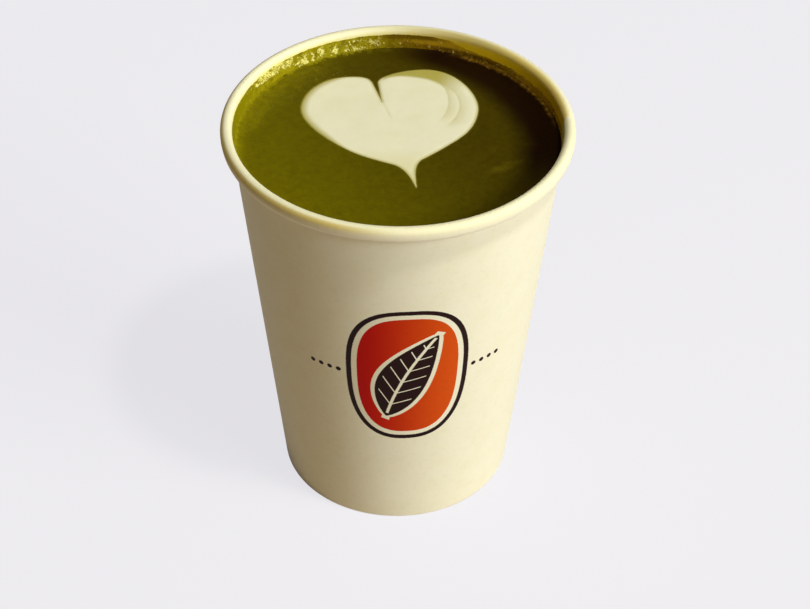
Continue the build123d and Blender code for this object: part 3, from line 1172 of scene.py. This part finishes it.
def film_finish():
    """Dried matcha: olive and patchy, dense along the drink, thin at its ragged top."""
    finish = Finish("dried_film")
    colours = bpy.context.scene.matcha_colours
    patches = finish.noise(520, 4, 0.6)
    clots = finish.noise(850, 4, 0.6)
    fine = finish.noise(2200, 4, 0.6)
    x = finish.x_mm
    left = (x * -1).eased(-10, 16)
    round_left = (finish.x * -1).arctan2(finish.y).eased(0.9, 1.35)
    # Painted light on the right of the film, used in the layer below.
    over = finish.z.eased(LEVEL + 1.4 * MM, LEVEL + 2.3 * MM) * x.eased(-2, 10)
    under_brim = finish.z.eased(LEVEL + 2.6 * MM, LEVEL + 3.6 * MM) * x.eased(-7, -1) * x.eased(16, 7)
    body = finish.layered(
        finish.mix(left, colours.film_dark, colours.film),
        (patches.eased(0.42, 0.62), finish.mix(left, colour(98, 70, 8), colour(128, 116, 8))),
        (round_left, colour(136, 128, 3)),
        # Painted light: high on the film towards the right, and all over on the far right, a bright yellow
        # stands in for light that glows through the board.
        ((over * 0.5).most(x.eased(24, 34) * 0.9), colour(216, 172, 30)),
        (under_brim, colour(104, 80, 6)),
    )
    pale = finish.layered(
        colour(150, 118, 30), (x.eased(4, 16), colour(240, 206, 112)), (x.eased(2, -14), colours.froth),
    )
    clotted = (clots + (finish.attribute("froth") - 0.5) * 0.3).eased(0.48, 0.64)
    paint = finish.mix(clotted * 0.9, body, pale)
    paint = finish.shade(paint, 0.88 + fine * 0.24)
    return finish.done(
        paint, 0.38 + patches * 0.22, fine + patches + clotted, 0.03 * MM,
        Specular_IOR_Level=0.12, Specular_Tint=(1.0, 0.9, 0.3, 1.0),
    )


class MATCHA_OT_wall_film(bpy.types.Operator):
    """Build the film of matcha that dried on the wall above the drink"""

    bl_idname = "matcha.wall_film"
    bl_label = "Wall Film"

    def execute(self, context):
        sizes = context.scene.matcha_residue
        angle = np.arange(0, 720) * math.tau / 720
        height, froth, full, middle = residue_height(angle)
        ring = polar(RIM_RADIUS, angle, LEVEL)
        ragged = 1 + (1 - 0.85 * full) * (0.22 * rough(ring, 3.2 * MM, 21) + 0.1 * rough(ring, 0.9 * MM, 22))
        height = np.maximum(height * ragged, 0.55 * MM)
        share = np.linspace(0, 1, 15)[:, None]
        sunk = 0.15 * MM
        level = LEVEL - sunk + share * (height + sunk)
        flat = polar(inner_wall(level), angle[None], level)
        lumps = 0.65 + 0.55 * rough(flat, 1.4 * MM, 23) + 0.35 * rough(flat, 0.5 * MM, 24)
        taper = np.sqrt(np.clip(1 - share, 0, 1)) * eased(share, -0.3, 0.05)
        thick = sizes.thickness * lumps.clip(0.15) * taper * (0.7 + 0.9 * froth)
        front = polar(inner_wall(level) - thick, angle[None], level)
        behind = polar(inner_wall(level) + 0.06 * MM, angle[None], level)
        skin = np.concatenate([front, behind[::-1], front[:1]])
        patchy = eased(rough(flat, 1.9 * MM, 25), -0.25, 0.35)
        spread = froth * (0.25 + 0.75 * patchy)
        spread = spread * eased(share - middle, -0.45, -0.15) * eased(share - middle, 0.5, 0.25)
        mesh = turned_mesh("wall_film", skin, {"froth": np.concatenate([spread, spread * 0, spread[:1]])})
        mesh.materials.append(film_finish())
        smooth(piece("wall_film", mesh), 60)
        return {"FINISHED"}


class MATCHA_OT_wall_froth(bpy.types.Operator):
    """Scatter the bubbles that stayed on the wall"""

    bl_idname = "matcha.wall_froth"
    bl_label = "Wall Froth"

    def execute(self, context):
        sizes = context.scene.matcha_residue
        film = bpy.data.objects["wall_film"]
        shape = bubble_shape("wall_froth", {
            "Density": sizes.density, "Smallest": 0.06 * MM, "Largest": sizes.bubble, "Seed": 4,
        })
        shape.made("wall_froth", film.data.copy())
        return {"FINISHED"}


# ---------------------------------------------------------------- stage


def floor_finish(paint):
    """A pale floor that shows its own colour to the camera, and a light shadow of the cup."""
    finish = Finish("floor")
    kind = finish.add("ShaderNodeLightPath", output="Is Camera Ray")
    seen = kind.most(kind.other("Is Glossy Ray")).most(kind.other("Is Transmission Ray"))
    lit = finish.add("ShaderNodeBsdfDiffuse", {"Color": (0.58, 0.46, 0.32, 1)})
    faint = finish.add("ShaderNodeBsdfDiffuse", {"Color": (0.13, 0.128, 0.125, 1)})
    glow = finish.add("ShaderNodeEmission", {"Color": (*paint, 1), "Strength": 0.86})
    shown = finish.add("ShaderNodeAddShader", {0: glow, 1: faint})
    return finish.ended(finish.add("ShaderNodeMixShader", {0: seen, 1: lit, 2: shown}))


def softbox(name, place, wide, tall, level, warmth):
    """A rectangular lamp turned to the cup; at level 1 a colour facing it shows as it is."""
    data = bpy.data.lights.new(name, "AREA")
    data.shape = "RECTANGLE"
    data.size, data.size_y = wide, tall
    aim = CUP_MIDDLE - place
    data.energy = level * math.pi ** 2 * aim.length ** 2
    data.color = warmth
    lamp = placed(name, data)
    lamp.location = place
    lamp.rotation_euler = aim.to_track_quat("-Z", "Y").to_euler()


CUP_MIDDLE = Vector((0, 0, 0.06))


def from_middle(azimuth, elevation, distance):
    """A place at a distance from the cup's middle: azimuth from +X, both in degrees."""
    a, e = math.radians(azimuth), math.radians(elevation)
    way = Vector((math.cos(a) * math.cos(e), math.sin(a) * math.cos(e), math.sin(e)))
    return CUP_MIDDLE + way * distance


class MATCHA_OT_stage(bpy.types.Operator):
    """Set the floor, the lamps and the camera"""

    bl_idname = "matcha.stage"
    bl_label = "Stage"

    def execute(self, context):
        stage = context.scene.matcha_stage
        scene = context.scene
        mesh = bpy.data.meshes.new("floor")
        reach = 3.0
        corners = [(-reach, -reach, 0), (reach, -reach, 0), (reach, reach, 0), (-reach, reach, 0)]
        mesh.from_pydata(corners, [], [(0, 1, 2, 3)])
        mesh.materials.append(floor_finish(tuple(stage.floor)))
        placed("floor", mesh)

        softbox("key", from_middle(-30, 28, 2.6), 1.5, 0.8, stage.key, (0.985, 1.0, 0.99))
        softbox("top", from_middle(-44, 67, 1.4), 0.12, 0.12, stage.top, (1.0, 0.98, 0.93))

        world = bpy.data.worlds.new("studio")
        world.use_nodes = True
        background = world.node_tree.nodes["Background"]
        background.inputs["Color"].default_value = (1.0, 0.74, 0.5, 1)
        background.inputs["Strength"].default_value = stage.sky
        scene.world = world

        data = bpy.data.cameras.new("camera")
        data.sensor_width = 36.0
        data.lens = stage.lens
        data.clip_start, data.clip_end = 0.01, 20.0
        camera = placed("camera", data)
        stand = Vector((0, -0.492846, 0.462395))
        down, aside, roll = (math.radians(angle) for angle in (39.947, 0.256, 0.563))
        ahead = Vector((math.sin(aside) * math.cos(down), math.cos(aside) * math.cos(down), -math.sin(down)))
        right = ahead.cross(Vector((0, 0, 1))).normalized()
        up = right.cross(ahead)
        tilted = right * math.cos(roll) + up * math.sin(roll)
        raised = up * math.cos(roll) - right * math.sin(roll)
        matrix = Matrix((tilted, raised, -ahead)).transposed().to_4x4()
        matrix.translation = stand
        camera.matrix_world = matrix
        scene.camera = camera
        scene.view_settings.view_transform = "Standard"
        return {"FINISHED"}


class MATCHA_PT_panel(bpy.types.Panel):
    """Lists the pieces in the order in which they are built"""

    bl_idname = "MATCHA_PT_panel"
    bl_label = "Matcha Latte"
    bl_space_type = "VIEW_3D"
    bl_region_type = "UI"
    bl_category = "Matcha"

    def draw(self, context):
        for operator in OPERATORS:
            self.layout.operator(operator.bl_idname)
        for label in GROUPS:
            group = getattr(context.scene, label)
            box = self.layout.box()
            for name in group.__annotations__:
                box.prop(group, name)


OPERATORS = (
    MATCHA_OT_cup_side,
    MATCHA_OT_cup_base,
    MATCHA_OT_drink,
    MATCHA_OT_foam_heart,
    MATCHA_OT_microfoam,
    MATCHA_OT_wall_film,
    MATCHA_OT_wall_froth,
    MATCHA_OT_stage,
)
GROUPS = {
    "matcha_cup": MatchaCupSizes,
    "matcha_drink": MatchaDrinkSizes,
    "matcha_residue": MatchaResidueSizes,
    "matcha_colours": MatchaColours,
    "matcha_stage": MatchaStageSettings,
}


def register():
    for group in GROUPS.values():
        bpy.utils.register_class(group)
    for label, group in GROUPS.items():
        setattr(bpy.types.Scene, label, PointerProperty(type=group))
    for operator in (*OPERATORS, MATCHA_PT_panel):
        bpy.utils.register_class(operator)


def unregister():
    for operator in reversed((*OPERATORS, MATCHA_PT_panel)):
        bpy.utils.unregister_class(operator)
    for label in GROUPS:
        delattr(bpy.types.Scene, label)
    for group in reversed(GROUPS.values()):
        bpy.utils.unregister_class(group)


def main():
    """Builds every piece and the stage."""
    register()
    bpy.ops.matcha.cup_side()
    bpy.ops.matcha.cup_base()
    bpy.ops.matcha.drink()
    bpy.ops.matcha.foam_heart()
    bpy.ops.matcha.microfoam()
    bpy.ops.matcha.wall_film()
    bpy.ops.matcha.wall_froth()
    bpy.ops.matcha.stage()


if __name__ == "__main__":
    main()
